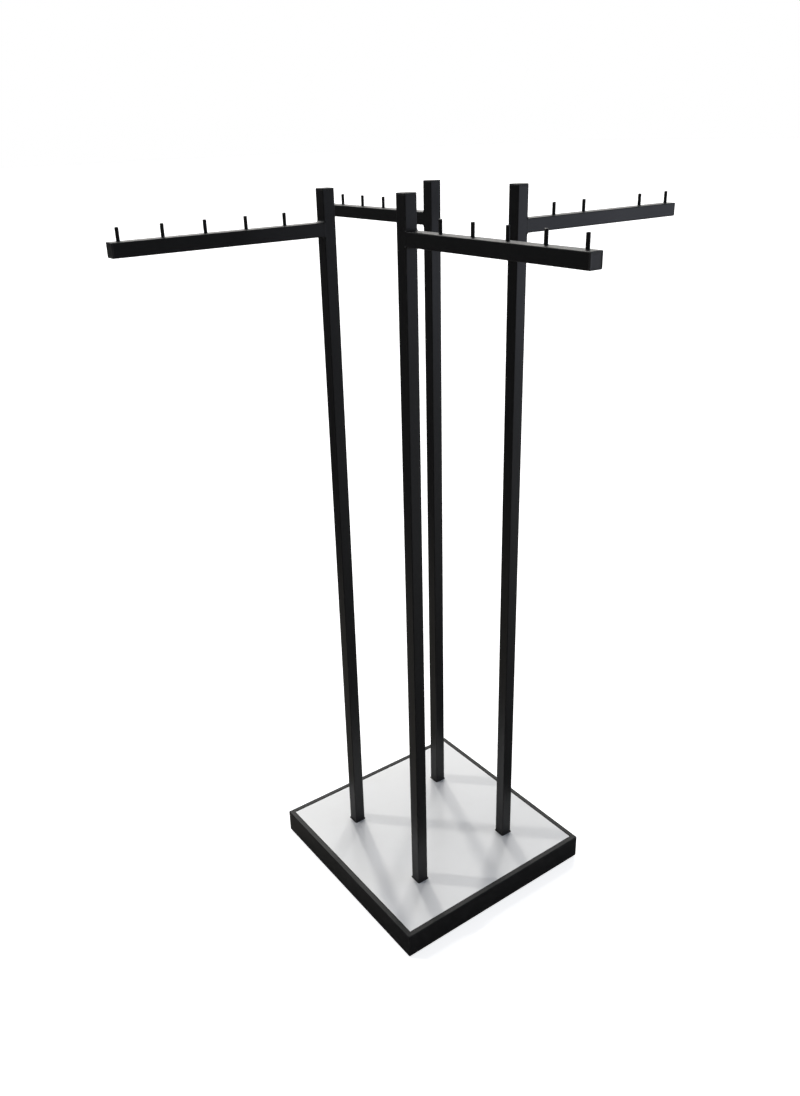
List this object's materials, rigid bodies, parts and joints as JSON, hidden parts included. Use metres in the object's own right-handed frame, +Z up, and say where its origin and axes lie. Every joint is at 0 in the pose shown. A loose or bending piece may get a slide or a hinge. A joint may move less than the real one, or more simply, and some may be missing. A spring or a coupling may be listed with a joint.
{
  "type": "four way clothing rack",
  "caption": "Floor-standing clothes rack: square panelled base, square-tube uprights close together, each with a level arm to one side carrying short pegs that space the hangers.",
  "frame": {"origin": "on the floor under the middle of the square base", "axes": "+Z up; +X and +Y along the base's sides, with the front arm towards -Y, the right arm towards +X, the back arm towards +Y and the left arm towards -X"},
  "size_m": [1.0974, 1.0974, 1.521],
  "materials": {
    "black_powder_coat": "satin black powder coat with a fine texture",
    "white_laminate": "semi-gloss white laminate on board",
    "black_plastic": "moulded, satin",
    "black_nylon": "moulded, matt",
    "zinc_steel": "bright zinc plate"
  },
  "bodies": {
    "root": {"rim_right": "black_powder_coat", "corner_plate_front_right": "black_powder_coat", "rim_back": "black_powder_coat", "corner_plate_back_right": "black_powder_coat", "rim_left": "black_powder_coat", "corner_plate_back_left": "black_powder_coat", "rim_front": "black_powder_coat", "corner_plate_front_left": "black_powder_coat", "base_panel": "white_laminate", "cross_rail_right": "black_powder_coat", "panel_screw_right": "zinc_steel", "cross_rail_left": "black_powder_coat", "panel_screw_left": "zinc_steel", "upright_right": "black_powder_coat", "upright_plug_right": "black_plastic", "upright_insert_right": "zinc_steel", "upright_bolt_right": "zinc_steel", "arm_right": "black_powder_coat", "arm_plug_right": "black_plastic", "peg_right_1": "black_powder_coat", "peg_right_2": "black_powder_coat", "peg_right_3": "black_powder_coat", "peg_right_4": "black_powder_coat", "peg_right_5": "black_powder_coat", "upright_back": "black_powder_coat", "upright_plug_back": "black_plastic", "upright_insert_back": "zinc_steel", "upright_bolt_back": "zinc_steel", "arm_back": "black_powder_coat", "arm_plug_back": "black_plastic", "peg_back_1": "black_powder_coat", "peg_back_2": "black_powder_coat", "peg_back_4": "black_powder_coat", "peg_back_5": "black_powder_coat", "upright_left": "black_powder_coat", "upright_plug_left": "black_plastic", "upright_insert_left": "zinc_steel", "upright_bolt_left": "zinc_steel", "arm_left": "black_powder_coat", "arm_plug_left": "black_plastic", "peg_left_1": "black_powder_coat", "peg_left_2": "black_powder_coat", "peg_left_3": "black_powder_coat", "peg_left_4": "black_powder_coat", "peg_left_5": "black_powder_coat", "upright_front": "black_powder_coat", "upright_plug_front": "black_plastic", "upright_insert_front": "zinc_steel", "upright_bolt_front": "zinc_steel", "arm_front": "black_powder_coat", "arm_plug_front": "black_plastic", "peg_front_1": "black_powder_coat", "peg_front_2": "black_powder_coat", "peg_front_3": "black_powder_coat", "peg_front_4": "black_powder_coat", "peg_front_5": "black_powder_coat"},
    "foot_front_right": {"foot_front_right": "black_nylon"},
    "foot_back_right": {"foot_back_right": "black_nylon"},
    "foot_back_left": {"foot_back_left": "black_nylon"},
    "foot_front_left": {"foot_front_left": "black_nylon"}
  },
  "joints": [
    {"name": "foot_thread_front_right", "type": "slide", "parent": "root", "child": "foot_front_right", "axis": [0, 0, -1], "range_m": [-0.002, 0.01]},
    {"name": "foot_thread_back_right", "type": "slide", "parent": "root", "child": "foot_back_right", "axis": [0, 0, -1], "range_m": [-0.002, 0.01]},
    {"name": "foot_thread_back_left", "type": "slide", "parent": "root", "child": "foot_back_left", "axis": [0, 0, -1], "range_m": [-0.002, 0.01]},
    {"name": "foot_thread_front_left", "type": "slide", "parent": "root", "child": "foot_front_left", "axis": [0, 0, -1], "range_m": [-0.002, 0.01]}
  ]
}
